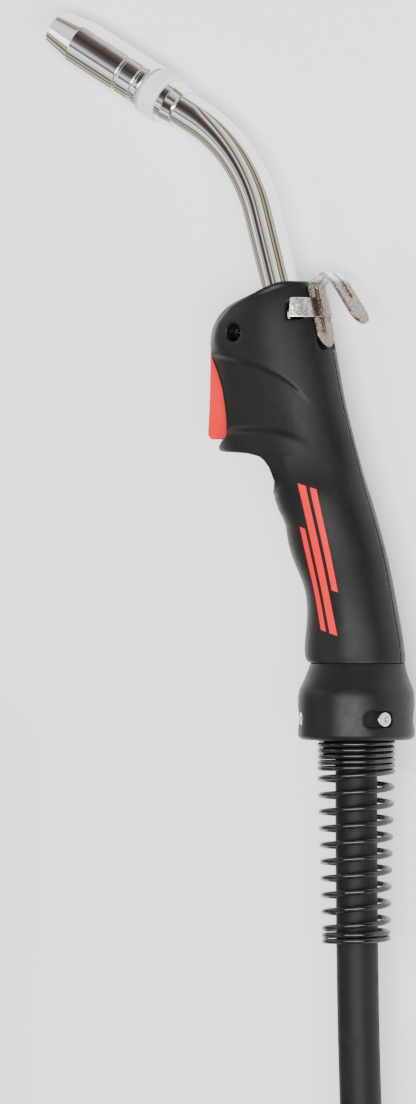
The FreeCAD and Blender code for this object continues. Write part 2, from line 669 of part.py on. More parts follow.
def main():
    os.makedirs("parts", exist_ok=True)
    pieces = laid_down(torch_pieces())
    report_origin(pieces)
    pieces["cable_lead"] = cable_tube("cable_lead", LEAD_ROUTE)
    pieces["cable_tail"] = cable_tube("cable_tail", TAIL_ROUTE)
    pieces["cable_coil"] = cable_coil()
    pieces["coil_ties"] = coil_ties()
    pieces.update(plug_pieces())
    for name, shape in pieces.items():
        if len(shape.Solids) == 1:
            shape = shape.Solids[0]
        if not shape.isValid() or shape.Volume <= 0:
            print("check", name, shape.isValid(), round(shape.Volume, 2))
        shape.exportStep(f"parts/{name}.step")
        print(name, len(shape.Solids), round(shape.Volume, 1))


main()
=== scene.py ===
"""Looks of the MIG welding torch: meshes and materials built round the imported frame.

Torch pieces are worked out in millimetres in the torch's own frame: X from the trigger side to
the back of the handle, Y from the cable end up the handle, Z across the parting plane. TORCH lays
them on the floor, as the part does. The cable and the connector are in the floor frame, +Z up.
"""
import json
import math

import bmesh
import bpy
import numpy as np
from mathutils import Matrix, Vector

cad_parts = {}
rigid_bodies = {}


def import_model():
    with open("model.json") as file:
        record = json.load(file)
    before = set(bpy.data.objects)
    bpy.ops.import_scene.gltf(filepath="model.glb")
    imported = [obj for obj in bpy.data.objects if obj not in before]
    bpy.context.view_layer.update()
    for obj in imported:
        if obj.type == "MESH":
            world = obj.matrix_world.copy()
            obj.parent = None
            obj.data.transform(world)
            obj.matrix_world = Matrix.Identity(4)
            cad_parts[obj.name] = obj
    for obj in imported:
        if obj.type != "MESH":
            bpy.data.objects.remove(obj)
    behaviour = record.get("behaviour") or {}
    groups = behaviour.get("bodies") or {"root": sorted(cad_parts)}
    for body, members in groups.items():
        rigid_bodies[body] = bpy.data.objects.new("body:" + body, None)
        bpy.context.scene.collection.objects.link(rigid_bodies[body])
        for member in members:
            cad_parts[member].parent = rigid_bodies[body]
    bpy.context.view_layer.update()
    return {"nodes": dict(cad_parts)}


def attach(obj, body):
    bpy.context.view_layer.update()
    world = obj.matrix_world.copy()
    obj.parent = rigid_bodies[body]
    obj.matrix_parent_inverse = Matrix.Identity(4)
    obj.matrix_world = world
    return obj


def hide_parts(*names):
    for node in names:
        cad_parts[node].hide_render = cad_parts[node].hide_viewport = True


for leftover in list(bpy.data.objects):
    bpy.data.objects.remove(leftover)
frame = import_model()

MM = 0.001
WHITE = (1.0, 1.0, 1.0)
TILT = math.radians(2.2)
REAR = Vector((63.62, -111.5, 24.92)) * MM
TORCH = Matrix.Translation(REAR) @ Matrix.Rotation(-TILT, 4, "X")
FLOOR_FRAME = Matrix.Identity(4)

# ---- the neck and the nozzle, as in the part ----
CORNER = Vector((-53.5, 245.5, 0.0))
NOZZLE_LEAN = math.radians(60.0)
NECK_LEAN = math.radians(15.9)
TO_NOZZLE = Vector((-math.sin(NOZZLE_LEAN), math.cos(NOZZLE_LEAN), 0.0))
TO_HANDLE = Vector((math.sin(NECK_LEAN), -math.cos(NECK_LEAN), 0.0))
NOZZLE_REACH = 108.3
TIP = CORNER + TO_NOZZLE * NOZZLE_REACH
FROM_TIP = -TO_NOZZLE
NECK_BEND = 68.0
NECK_R = 8.3
NECK_FOOT = 110.7
NECK_FRONT = 66.0

# ---- the handle, its collar and its spring ----
SEAM_Y = 31.7
JOINT_LIP = 1.3
SPRING_WIRE_R = 1.15
SPRING_TOP = Vector((0.0, 3.6, 0.0))
PLUG_SPRING_INSET = Vector((0.0, 3.3, 0.0))
TOWARDS_CABLE = Vector((0.0, -1.0, 0.0))

# ---- the cable ----
CABLE_R = 8.8
COIL_CENTRE = Vector((-35.6, -394.5, 0.0))
LOWER_RUNS = (72.9, 90.5, 108.1)
UPPER_RUNS = (81.7, 99.3)
UPPER_HEIGHT = 24.0
HUMP_HEIGHT = 26.4
PLUG_REAR = Vector((-159.3, -194.5, 23.2))
LEAD_ROUTE = (
    (63.62, -111.5, 24.92),
    (63.62, -206.43, 28.57),
    (63.9, -301.5, 26.6),
    (63.7, -356.0, 24.2),
)
TAIL_ROUTE = (
    (-143.7, -373.5, 8.8),
    (-143.9, -339.5, 9.0),
    (-150.3, -289.5, 15.2),
    (-159.3, -239.5, 23.2),
    (-159.3, -194.5, 23.2),
)

# ---- the ties round the coil ----
STRAP_STEP = 1.2
STRAP_WIDTH = 12.0
STRAP_THICKNESS = 0.9
STRAP_GIRTH = 26.0
STRAP_R = 9.3
LAP_R = 10.2
LAP_STEPS = 32


def shown(name, data, place=FLOOR_FRAME):
    """A new object in the scene, laid in its place."""
    thing = bpy.data.objects.new(name, data)
    thing.matrix_world = place
    bpy.context.scene.collection.objects.link(thing)
    return thing


# ---- the camera ----
def add_camera():
    """Looks across the parting plane, swung 32 degrees towards the back of the handle."""
    swing = math.radians(32.0)
    sensor = 36.0
    outward = Vector((math.sin(swing), 0.0, math.cos(swing)))
    right = Vector((math.cos(swing), 0.0, -math.sin(swing)))
    middle = right * -61.5 + Vector((0.0, 77.8, 0.0))
    distance = 3200.0
    half_height = 229.0
    at = middle + outward * distance
    turn = Matrix((right, Vector((0.0, 1.0, 0.0)), outward)).transposed().to_4x4()
    lens = bpy.data.cameras.new("camera")
    lens.sensor_fit = "VERTICAL"
    lens.sensor_height = sensor
    lens.lens = sensor * distance / (2.0 * half_height)
    lens.clip_end = 20.0
    bpy.context.scene.camera = shown("camera", lens, TORCH @ Matrix.Translation(at * MM) @ turn)


# ---- materials ----
class Finish:
    """One procedural material, built up in layers on a Principled shader. Lengths are in metres."""

    def __init__(self, name, **settings):
        self.material = bpy.data.materials.new(name)
        self.material.use_nodes = True
        self.nodes = self.material.node_tree.nodes
        self.links = self.material.node_tree.links
        self.shader = self.nodes["Principled BSDF"]
        self.place = self.nodes.new("ShaderNodeTexCoord").outputs["Object"]
        for socket, value in settings.items():
            self.shader.inputs[socket.replace("_", " ")].default_value = value

    def axes(self, source=None):
        """X, Y and Z of a place, by name."""
        node = self.nodes.new("ShaderNodeSeparateXYZ")
        self.links.new(source or self.place, node.inputs["Vector"])
        return node.outputs

    def noise(self, scale, detail=3.0, rough=0.5):
        node = self.nodes.new("ShaderNodeTexNoise")
        node.inputs["Scale"].default_value = scale
        node.inputs["Detail"].default_value = detail
        node.inputs["Roughness"].default_value = rough
        self.links.new(self.place, node.inputs["Vector"])
        return node.outputs["Fac"]

    def cells(self, scale):
        node = self.nodes.new("ShaderNodeTexVoronoi")
        node.inputs["Scale"].default_value = scale
        self.links.new(self.place, node.inputs["Vector"])
        return node.outputs["Distance"]

    def waves(self, scale, direction, source):
        node = self.nodes.new("ShaderNodeTexWave")
        node.bands_direction = direction
        node.inputs["Scale"].default_value = scale
        node.inputs["Distortion"].default_value = 0.3
        self.links.new(source, node.inputs["Vector"])
        return node.outputs["Fac"]

    def remap(self, value, low, high, first, last):
        """Goes smoothly from first to last as the value goes from low to high."""
        node = self.nodes.new("ShaderNodeMapRange")
        node.interpolation_type = "SMOOTHSTEP"
        ends = {"From Min": low, "From Max": high, "To Min": first, "To Max": last}
        for socket, number in ends.items():
            node.inputs[socket].default_value = number
        self.links.new(value, node.inputs["Value"])
        return node.outputs["Result"]

    def math(self, operation, first, second):
        """One operation on two values, each a number or a socket."""
        node = self.nodes.new("ShaderNodeMath")
        node.operation = operation
        for socket, value in zip(node.inputs, (first, second)):
            if isinstance(value, (int, float)):
                socket.default_value = value
            else:
                self.links.new(value, socket)
        return node.outputs["Value"]

    def mix(self, factor, first, second):
        """A blend of two colours, each a tuple or a socket."""
        node = self.nodes.new("ShaderNodeMix")
        node.data_type = "RGBA"
        self.links.new(factor, node.inputs["Factor"])
        for socket, value in ((node.inputs[6], first), (node.inputs[7], second)):
            if isinstance(value, tuple):
                socket.default_value = (*value, 1.0)
            else:
                self.links.new(value, socket)
        return node.outputs[2]

    def colour(self, value):
        self.links.new(value, self.shader.inputs["Base Color"])

    def roughness(self, value):
        self.links.new(value, self.shader.inputs["Roughness"])

    def bump(self, height, depth):
        """Adds relief of a depth in metres on top of the relief that is there."""
        node = self.nodes.new("ShaderNodeBump")
        node.inputs["Distance"].default_value = depth
        node.inputs["Strength"].default_value = 1.0
        self.links.new(height, node.inputs["Height"])
        before = self.shader.inputs["Normal"].links
        if before:
            self.links.new(before[0].from_socket, node.inputs["Normal"])
        self.links.new(node.outputs["Normal"], self.shader.inputs["Normal"])


def moulded(name, dark, light, rough, grain=1500.0, depth=0.00006, **settings):
    """Moulded plastic: faint cloudy colour and a fine spark-eroded grain."""
    finish = Finish(name, **settings)
    finish.colour(finish.mix(finish.remap(finish.noise(60.0), 0.35, 0.65, 0.0, 1.0), dark, light))
    finish.roughness(finish.remap(finish.noise(220.0), 0.3, 0.7, rough - 0.05, rough + 0.05))
    finish.bump(finish.noise(grain, 2.0), depth)
    finish.bump(finish.cells(grain * 0.6), depth * 0.5)
    return finish


def printed_stripes(finish, base):
    """Three plain red stripes along the near side of the grip."""
    middle_x, middle_y, lean, end_slant = -8.6, 74.7, 14.3, 0.6
    stripes = ((-4.6, 1.3, -32.0, 12.0), (0.0, 1.7, -32.0, 32.0), (4.6, 1.3, -12.0, 32.0))
    turn = finish.nodes.new("ShaderNodeMapping")
    turn.vector_type = "TEXTURE"
    turn.inputs["Location"].default_value = (middle_x * MM, middle_y * MM, 0.0)
    turn.inputs["Rotation"].default_value = (0.0, 0.0, math.radians(lean))
    finish.links.new(finish.place, turn.inputs["Vector"])
    on_grip = finish.axes(turn.outputs["Vector"])
    edge = 0.06 * MM
    total = None
    for middle, half_width, low, high in stripes:
        offset = finish.math("SUBTRACT", on_grip["X"], middle * MM)
        offset = finish.math("ABSOLUTE", offset, 0.0)
        across = finish.remap(offset, half_width * MM - edge, half_width * MM + edge, 1.0, 0.0)
        slant = finish.math("ADD", on_grip["Y"], finish.math("MULTIPLY", on_grip["X"], end_slant))
        above = finish.remap(slant, low * MM - edge, low * MM + edge, 0.0, 1.0)
        below = finish.remap(slant, high * MM - edge, high * MM + edge, 1.0, 0.0)
        stripe = finish.math("MULTIPLY", across, finish.math("MULTIPLY", above, below))
        total = stripe if total is None else finish.math("MAXIMUM", total, stripe)
    near = finish.remap(finish.axes()["Z"], 4.0 * MM, 5.0 * MM, 0.0, 1.0)
    worn = finish.remap(finish.noise(700.0, 5.0), 0.22, 0.3, 0.75, 1.0)
    mask = finish.math("MULTIPLY", finish.math("MULTIPLY", total, near), worn)
    return finish.mix(mask, base, (0.86, 0.008, 0.012))


def handle_finish():
    """Black moulded handle plastic with the printed stripes."""
    finish = Finish("handle_plastic_look", Specular_IOR_Level=0.2)
    cloud = finish.remap(finish.noise(45.0), 0.35, 0.65, 0.0, 1.0)
    base = finish.mix(cloud, (0.0062, 0.0064, 0.0066), (0.0085, 0.0087, 0.0089))
    finish.colour(printed_stripes(finish, base))
    finish.roughness(finish.remap(finish.noise(300.0), 0.3, 0.7, 0.36, 0.44))
    finish.bump(finish.noise(3200.0, 2.0), 0.000018)
    finish.bump(finish.cells(2400.0), 0.00001)
    return finish


def metal(name, dark, light, low, high, grain=250.0):
    """Metal whose tint drifts between two colours and its polish between two roughnesses."""
    finish = Finish(name, Metallic=1.0)
    finish.colour(finish.mix(finish.remap(finish.noise(70.0), 0.3, 0.7, 0.0, 1.0), dark, light))
    marks = finish.noise(grain, 5.0)
    finish.roughness(finish.remap(marks, 0.3, 0.7, low, high))
    finish.bump(marks, 0.000004)
    return finish


def rolled_steel():
    """Steel strip: brownish grey and speckled, and bare and bright on its ears and its fold."""
    finish = Finish("hook_steel_look", Metallic=1.0)
    speck = finish.remap(finish.noise(1500.0, 6.0, rough=0.7), 0.36, 0.64, 0.0, 1.0)
    blush = finish.remap(finish.noise(160.0), 0.35, 0.65, 0.0, 1.0)
    grey = finish.mix(speck, (0.045, 0.035, 0.03), (0.42, 0.36, 0.31))
    brown = finish.mix(finish.math("MULTIPLY", blush, 0.3), grey, (0.20, 0.145, 0.11))
    axes = finish.axes()
    side = finish.math("ABSOLUTE", axes["Z"], 0.0)
    ears = finish.remap(side, 7.0 * MM, 8.5 * MM, 0.0, 1.0)
    crest = finish.remap(axes["Y"], 189.0 * MM, 193.0 * MM, 0.0, 1.0)
    bare = finish.math("MAXIMUM", ears, crest)
    finish.colour(finish.mix(bare, brown, (0.97, 0.97, 0.97)))
    dull = finish.remap(speck, 0.0, 1.0, 0.42, 0.2)
    finish.roughness(finish.math("SUBTRACT", dull, finish.math("MULTIPLY", bare, 0.1)))
    finish.bump(finish.noise(1300.0, 5.0), 0.00008)
    finish.bump(finish.noise(380.0, 4.0), 0.00045)
    return finish


def cable_finish():
    """Matte rubber jacket with faint rubbed marks along it."""
    finish = Finish("cable_rubber_look", Specular_IOR_Level=0.2)
    scuff = finish.remap(finish.noise(120.0, 5.0), 0.5, 0.72, 0.0, 1.0)
    finish.colour(finish.mix(scuff, (0.0060, 0.0061, 0.0063), (0.0105, 0.0107, 0.011)))
    finish.roughness(finish.remap(scuff, 0.0, 1.0, 0.55, 0.68))
    finish.bump(finish.noise(1800.0, 3.0), 0.00003)
    finish.bump(finish.noise(90.0, 2.0), 0.00008)
    return finish


def woven():
    """Woven strap: crossed ribs with lint."""
    finish = Finish("tie_fabric_look", Roughness=0.85, Sheen_Weight=0.3)
    texture = finish.nodes["Texture Coordinate"].outputs["UV"]
    threads = 420.0
    weave = finish.math("MAXIMUM", finish.waves(threads, "X", texture),
                        finish.waves(threads, "Y", texture))
    lint = finish.math("MULTIPLY", weave, finish.noise(900.0, 5.0))
    finish.colour(finish.mix(lint, (0.012, 0.012, 0.013), (0.06, 0.06, 0.064)))
    finish.bump(weave, 0.0002)
    return finish


def ceramic():
    """Pale, faintly glossy insulator ring."""
    finish = Finish("ceramic_look", Coat_Weight=0.25, Coat_Roughness=0.15)
    finish.colour(finish.mix(finish.noise(90.0), (0.80, 0.83, 0.83), (0.88, 0.90, 0.90)))
    finish.roughness(finish.remap(finish.noise(400.0), 0.3, 0.7, 0.32, 0.42))
    finish.bump(finish.noise(1200.0), 0.00002)
    return finish


def make_plastics():
    """Plastics by slot: dark colour, light colour and finish."""
    return {
        "handle_plastic": handle_finish(),
        "trigger_plastic": moulded(
            "trigger_plastic_look", (0.82, 0.008, 0.012), (0.88, 0.012, 0.016),
            rough=0.4, grain=2600.0, depth=0.00002, Specular_IOR_Level=0.2),
        "spring_steel": moulded(
            "spring_lacquer_look", (0.004, 0.004, 0.0042), (0.007, 0.007, 0.0072),
            rough=0.2, grain=300.0, depth=0.00001, Specular_IOR_Level=0.5),
        "cable_rubber": cable_finish(),
        "insulation": moulded(
            "insulation_look", (0.55, 0.5, 0.4), (0.66, 0.6, 0.5), rough=0.5),
        "switch_plastic": moulded(
            "switch_plastic_look", (0.05, 0.05, 0.055), (0.08, 0.08, 0.085), rough=0.45),
        "wire_jacket": moulded(
            "wire_jacket_look", (0.04, 0.12, 0.5), (0.06, 0.16, 0.6), rough=0.4),
        "plug_plastic": moulded(
            "plug_plastic_look", (0.0066, 0.0068, 0.007), (0.0095, 0.0097, 0.01),
            rough=0.42, grain=1800.0, depth=0.00003, Specular_IOR_Level=0.25),
        # painted shade: a darker, duller black than the handle plastic, standing in for the shade
        # inside the collar's windows
        "shaded_plastic": moulded(
            "painted_shade_plastic_look", (0.003, 0.003, 0.0032), (0.005, 0.005, 0.0052),
            rough=0.6, Specular_IOR_Level=0.2),
    }


def make_metals():
    """Metals by slot: dark colour, light colour, lowest and highest roughness."""
    return {
        "chrome": metal("chrome_look", (0.86, 0.83, 0.81), (0.92, 0.90, 0.88), 0.03, 0.05),
        "hook_steel": rolled_steel(),
        "bright_steel": metal(
            "bright_steel_look", (0.62, 0.62, 0.62), (0.80, 0.80, 0.81), 0.12, 0.24, grain=900.0),
        "brass": metal(
            "brass_look", (0.68, 0.48, 0.20), (0.80, 0.60, 0.28), 0.18, 0.32, grain=700.0),
        "copper": metal(
            "copper_look", (0.70, 0.32, 0.18), (0.84, 0.44, 0.27), 0.2, 0.36, grain=700.0),
        "liner_steel": metal(
            "liner_steel_look", (0.3, 0.3, 0.31), (0.45, 0.45, 0.46), 0.3, 0.45),
    }


def dress_frame(materials):
    """Every CAD node that stays shown takes the better material of its own slot."""
    for node in frame["nodes"].values():
        for slot in node.material_slots:
            plain = slot.material.name.split(".")[0]
            if plain in materials:
                slot.material = materials[plain].material


# ---- general meshes ----
def add_piece(name, mesh, slot, body, place=TORCH):
    """An object from a mesh in its own frame, laid in place, with its material, on its body."""
    piece = shown(name, mesh, place)
    mesh.materials.clear()
    mesh.materials.append(MATERIALS[slot].material)
    for polygon in mesh.polygons:
        polygon.use_smooth = True
    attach(piece, body)
    return piece


def mesh_from(name, points, faces):
    """A mesh from points in millimetres."""
    mesh = bpy.data.meshes.new(name)
    mesh.from_pydata([tuple(p * MM) for p in points], [], faces)
    mesh.update()
    return mesh


def eased(profile, radius, steps=4):
    """Closed outline with each corner rounded, and a point on each side to keep the flats flat."""
    longest_share = 0.3
    points = [Vector(p) for p in profile]
    eased_points = []
    for before, corner, after in zip(points[-1:] + points[:-1], points, points[1:] + points[:1]):
        back, ahead = before - corner, after - corner
        reach = min(radius, back.length * longest_share, ahead.length * longest_share)
        back.normalize()
        ahead.normalize()
        start, end = corner + back * reach, corner + ahead * reach
        eased_points.append(corner + back * reach * 1.5)
        for k in range(steps + 1):
            t = k / steps
            eased_points.append(start * (1 - t) ** 2 + corner * 2 * t * (1 - t) + end * t ** 2)
        eased_points.append(corner + ahead * reach * 1.5)
    return [tuple(p) for p in eased_points]


def lathe(name, profile, start, direction, steps=160):
    """Solid of revolution from a closed outline of (radius, distance) points along an axis."""
    turn = direction.to_track_quat("Z", "Y").to_matrix()
    count = len(profile)
    points, faces = [], []
    for k in range(steps):
        angle = 2 * math.pi * k / steps
        points += [start + turn @ Vector((r * math.cos(angle), r * math.sin(angle), s))
                   for r, s in profile]
        here, onward = k * count, (k + 1) % steps * count
        for j in range(count):
            nearby = (j + 1) % count
            faces.append((here + j, onward + j, onward + nearby, here + nearby))
    mesh = mesh_from(name, points, faces)
    face_outward(mesh)
    return mesh


def face_outward(mesh):
    """Turns every face's normal outward."""
    shape = bmesh.new()
    shape.from_mesh(mesh)
    bmesh.ops.recalc_face_normals(shape, faces=shape.faces)
    shape.to_mesh(mesh)
    shape.free()


def sweep(name, path, section, side=None, closed=False):
    """Bar of a given section along a path.

    With a side, the section keeps to that side; without one it turns as little as it can.
    """
    count, total = len(section), len(path)
    points, faces = [], []
    across = None
    for k, at in enumerate(path):
        before, after = path[(k - 1) % total], path[(k + 1) % total]
        if not closed:
            before, after = path[max(k - 1, 0)], path[min(k + 1, total - 1)]
        along = (after - before).normalized()
        if side is not None:
            second = side
            across = along.cross(second).normalized()
        else:
            first = across or along.orthogonal()
            across = (first - along * first.dot(along)).normalized()
            second = along.cross(across)
        points += [at + across * a + second * b for a, b in section]
    for k in range(total if closed else total - 1):
        here, onward = k * count, (k + 1) % total * count
        for j in range(count):
            nearby = (j + 1) % count
            faces.append((here + j, here + nearby, onward + nearby, onward + j))
    if not closed:
        faces += [tuple(range(count)), tuple(range((total - 1) * count, total * count))]
    mesh = mesh_from(name, points, faces)
    face_outward(mesh)
    return mesh


def ring(radius, sides):
    """Round section of a bar."""
    return [(radius * math.cos(2 * math.pi * k / sides), radius * math.sin(2 * math.pi * k / sides))
            for k in range(sides)]


def relaxed(mesh, passes, still=None):
    """Rounds the edges of an evenly meshed shape; points that are asked to keep still stay."""
    shape = bmesh.new()
    shape.from_mesh(mesh)
    moving = [p for p in shape.verts if still is None or not still(p.co / MM)]
    for _ in range(passes):
        bmesh.ops.smooth_vert(shape, verts=moving, factor=0.5,
                              use_axis_x=True, use_axis_y=True, use_axis_z=True)
    shape.to_mesh(mesh)
    shape.free()
    mesh.update()


def softened(node, voxel, passes, slot, body="torch", place=TORCH, still=None, shape=None):
    """A copy of a CAD node with an even fine mesh and rounded edges, that stands for the node.

    Points that are asked to keep still aren't smoothed; shape then changes the smoothed mesh.
    """
    mesh = frame["nodes"][node].data.copy()
    mesh.transform(place.inverted())
    draft = shown("draft", mesh)
    even = draft.modifiers.new("even", "REMESH")
    even.mode = "VOXEL"
    even.voxel_size = voxel * MM
    bpy.context.view_layer.update()
    evaluated = draft.evaluated_get(bpy.context.evaluated_depsgraph_get())
    fine = bpy.data.meshes.new_from_object(evaluated)
    bpy.data.objects.remove(draft)
    bpy.data.meshes.remove(mesh)
    relaxed(fine, passes, still)
    if shape is not None:
        shape(fine)
    fine.name = node + "_mesh"
    piece = add_piece(node + "_finished", fine, slot, body, place)
    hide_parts(node)
    return piece


def moved_points(mesh, move):
    """Moves a mesh's points by a function of their places and normals, all in millimetres."""
    places = np.empty(len(mesh.vertices) * 3)
    mesh.vertices.foreach_get("co", places)
    normals = np.empty(len(mesh.vertices) * 3)
    mesh.vertex_normals.foreach_get("vector", normals)
    places = places.reshape(-1, 3) / MM
    places += move(places, normals.reshape(-1, 3))
    mesh.vertices.foreach_set("co", (places * MM).ravel())
    mesh.update()


def smooth_step(value, low, high):
    """Rises smoothly from 0 at low to 1 at high, for arrays."""
    t = np.clip((value - low) / (high - low), 0.0, 1.0)
    return t * t * (3.0 - 2.0 * t)


# ---- handle ----
def finger_scoop(places, normals):
    """Hollow in each side of the handle behind the trigger, between two fading creases."""
    x, y, z = places.T
    wall_inside, full_depth, crease_depth, crease_width = 9.0, 1.5, 0.45, 0.9
    upper = np.interp(x, (-60.0, -51.0, -36.7, -27.1, -20.2, -12.0),
                      (160.6, 159.0, 155.3, 150.8, 145.8, 138.0))
    lower = np.interp(x, (-60.0, -45.0, -29.1, -20.5, -12.2), (126.6, 127.4, 126.7, 124.2, 119.6))
    outer = smooth_step(normals[:, 2] * np.sign(z), 0.15, 0.5) * (np.abs(z) > wall_inside)
    depth = full_depth * (1.0 - smooth_step(x, -34.0, -12.0))
    inside = smooth_step(upper - y, -0.4, 2.2) * smooth_step(y - lower, -0.4, 3.0)
    crease = np.exp(-((upper - crease_width - y) / crease_width) ** 2)
    crease = crease * smooth_step(x, -48.0, -40.0) * (1 - smooth_step(x, -24, -17))
    inward = outer * (depth * inside + crease_depth * crease)
    move = np.zeros_like(places)
    move[:, 2] = -np.sign(z) * inward
    return move


def handle_profile(places, normals):
    """Rounds the front of the head, deepens the hollow under the guard, fills the swell below."""
    x, y, _ = places.T
    head_edge = np.interp(y, (160.0, 166.5, 173.0, 180.3, 183.9, 189.2),
                          (-66.0, -69.3, -67.2, -59.3, -50.1, -36.0))
    head = np.interp(y, (160.0, 162.0, 166.0, 172.0, 178.0, 182.0, 186.0, 189.0, 190.6),
                     (0.0, 2.0, 3.0, 3.6, 4.5, 5.0, 5.0, 3.5, 1.5))
    head *= smooth_step(head_edge + 12.0 - x, 0.0, 12.0) * (y > 160.0)
    hollow = np.interp(y, (103.0, 107.0, 117.3, 119.0), (0.0, 3.3, 3.3, 0.0))
    hollow = hollow * smooth_step(-x, 20.0, 32.0)
    swell = np.interp(y, (89.0, 96.0, 99.5, 104.0), (0.0, -2.6, -2.6, 0.0))
    swell = swell * smooth_step(-x, 14.0, 30.0)
    move = np.zeros_like(places)
    move[:, 0] = head + hollow + swell
    return move


def parting_line(places, normals):
    """Brings the two shells together so that only a hairline shows between them."""
    rim, closer = 0.7, 0.22
    move = np.zeros_like(places)
    z = places[:, 2]
    move[:, 2] = np.where(np.abs(z) < rim, -np.sign(z) * closer, 0.0)
    return move


def add_shells():
    """The two halves of the handle; their meeting edges stay sharp."""
    seam_width = 0.9

    def at_seam(place):
        return abs(place.z) < seam_width or place.y < SEAM_Y + JOINT_LIP

    def finish_shell(mesh):
        moved_points(mesh, handle_profile)
        moved_points(mesh, finger_scoop)
        relaxed(mesh, passes=3, still=at_seam)
        moved_points(mesh, parting_line)

    for node in ("handle_shell_near", "handle_shell_far"):
        softened(node, voxel=0.5, passes=7, slot="handle_plastic", still=at_seam,
                 shape=finish_shell)


def add_collar():
    """The rear collar, with its flare smoothed between the windows and the handle."""
    flare_low, flare_inside = 15.5, 18.6

    def near_joint(place):
        return place.y > SEAM_Y - JOINT_LIP

    def off_the_flare(place):
        if not flare_low < place.y < SEAM_Y - JOINT_LIP:
            return True
        return math.hypot(place.x, place.z) < flare_inside

    def finish_flare(mesh):
        relaxed(mesh, passes=50, still=off_the_flare)

    softened("rear_collar", voxel=0.42, passes=4, slot="handle_plastic", still=near_joint,
             shape=finish_flare)


def add_handle():
    """The handle, its collar, its screws and its trigger."""
    add_shells()
    add_collar()
    support = softened("cable_support", voxel=0.42, passes=3, slot="handle_plastic")
    # the cable support is painted darker than the handle plastic: painted shade behind the collar
    # screws seen in the windows
    support.material_slots[0].material = MATERIALS["shaded_plastic"].material
    softened("collar_screws", voxel=0.16, passes=3, slot="bright_steel")
    screw = softened("handle_screw", voxel=0.2, passes=2, slot="bright_steel")
    screw.material_slots[0].material = MATERIALS["spring_steel"].material
    softened("trigger_lever", voxel=0.3, passes=3, slot="trigger_plastic", body="trigger")


# ---- hook ----
HOOK_LINE = [Vector(p) for p in (
    (-13.9, 162.9), (-19.6, 188.6), (-13.4, 194.6), (-8.0, 190.0), (4.2, 172.6))]
HOOK_END_R = 6.25
RIB_HALF = 2.1
RIB_DEPTH = 1.0
RIB_FROM_LEG = 4.6
RIB_FROM_TIP = 12.0
STRIP_REACH = 1.6


def hook_places(flat):
    """Distance off the strip and way along it and inward side of each point; the strip's length."""
    best = np.full(len(flat), 1e9)
    along = np.zeros(len(flat))
    inward = np.zeros((len(flat), 2))
    run = 0.0
    for a, b in zip(HOOK_LINE, HOOK_LINE[1:]):
        step = np.array(b - a)
        length = float(np.linalg.norm(step))
        t = np.clip(((flat - np.array(a)) @ step) / length ** 2, 0.0, 1.0)
        away = np.linalg.norm(flat - (np.array(a) + t[:, None] * step), axis=1)
        nearer = away < best
        best[nearer] = away[nearer]
        along[nearer] = run + t[nearer] * length
        inward[nearer] = np.array((step[1], -step[0])) / length
        run += length
    return best, along, inward, run


def round_end(distance, radius):
    """Share of the full width that a half-round end has at a distance from its tip."""
    short = np.clip(radius - distance, 0.0, radius)
    return np.sqrt(np.clip(1.0 - short ** 2 / radius ** 2, 0.0, 1.0))


def press_hook(places, normals):
    """Presses a long rib into the strip and rounds its two ends."""
    off_line, along, inward, run = hook_places(places[:, :2])
    strip = off_line < STRIP_REACH
    z = places[:, 2]
    to_rib_end = np.minimum(along - RIB_FROM_LEG, run - RIB_FROM_TIP - along)
    wide = round_end(to_rib_end, RIB_HALF)
    rib = strip * smooth_step(wide * RIB_HALF - np.abs(z), -0.35, 0.8) * (to_rib_end > 0)
    move = np.zeros_like(places)
    move[:, :2] = inward * (RIB_DEPTH * rib)[:, None]
    to_end = np.minimum(along, run - along)
    narrow = round_end(to_end, HOOK_END_R)
    move[:, 2] = np.where(strip & (to_end < HOOK_END_R), z * (narrow - 1.0), 0.0)
    return move


def add_hook():
    """The suspension hook."""
    def finish_strip(mesh):
        moved_points(mesh, press_hook)
        relaxed(mesh, passes=2)

    softened("suspension_hook", voxel=0.26, passes=2, slot="hook_steel", shape=finish_strip)


# ---- neck and nozzle ----
def neck_line():
    """Centre line of the swan neck, from its foot in the handle to its end behind the tip."""
    straight_steps, bend_steps, front_steps = 30, 90, 20
    turn = NOZZLE_LEAN - NECK_LEAN
    reach = NECK_BEND * math.tan(turn / 2)
    start = CORNER + TO_HANDLE * reach
    sideways = Vector((-math.cos(NECK_LEAN), -math.sin(NECK_LEAN), 0.0))
    centre = start + sideways * NECK_BEND
    straight = [CORNER + TO_HANDLE * (NECK_FOOT + (reach - NECK_FOOT) * k / straight_steps)
                for k in range(straight_steps)]
    bend = [centre + Matrix.Rotation(turn * k / bend_steps, 3, "Z") @ (start - centre)
            for k in range(bend_steps + 1)]
    front = TIP + FROM_TIP * NECK_FRONT
    beyond = [bend[-1].lerp(front, k / front_steps) for k in range(1, front_steps + 1)]
    return straight + bend + beyond


def add_neck():
    """The chromed swan neck and the collar at its front."""
    tube = sweep("swan_neck_mesh", neck_line(), ring(NECK_R, sides=128))
    piece = add_piece("swan_neck_finished", tube, "chrome", "torch")
    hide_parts("swan_neck_tube")
    collar = [
        (8.35, 63.2), (9.3, 63.2), (9.65, 63.6), (9.65, 67.0), (8.9, 71.6), (8.7, 72.2),
        (8.35, 72.2),
    ]
    turned = lathe("neck_collar_mesh", eased(collar, 0.25), TIP, FROM_TIP)
    piece = add_piece("neck_collar_finished", turned, "chrome", "torch")
    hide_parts("neck_collar")


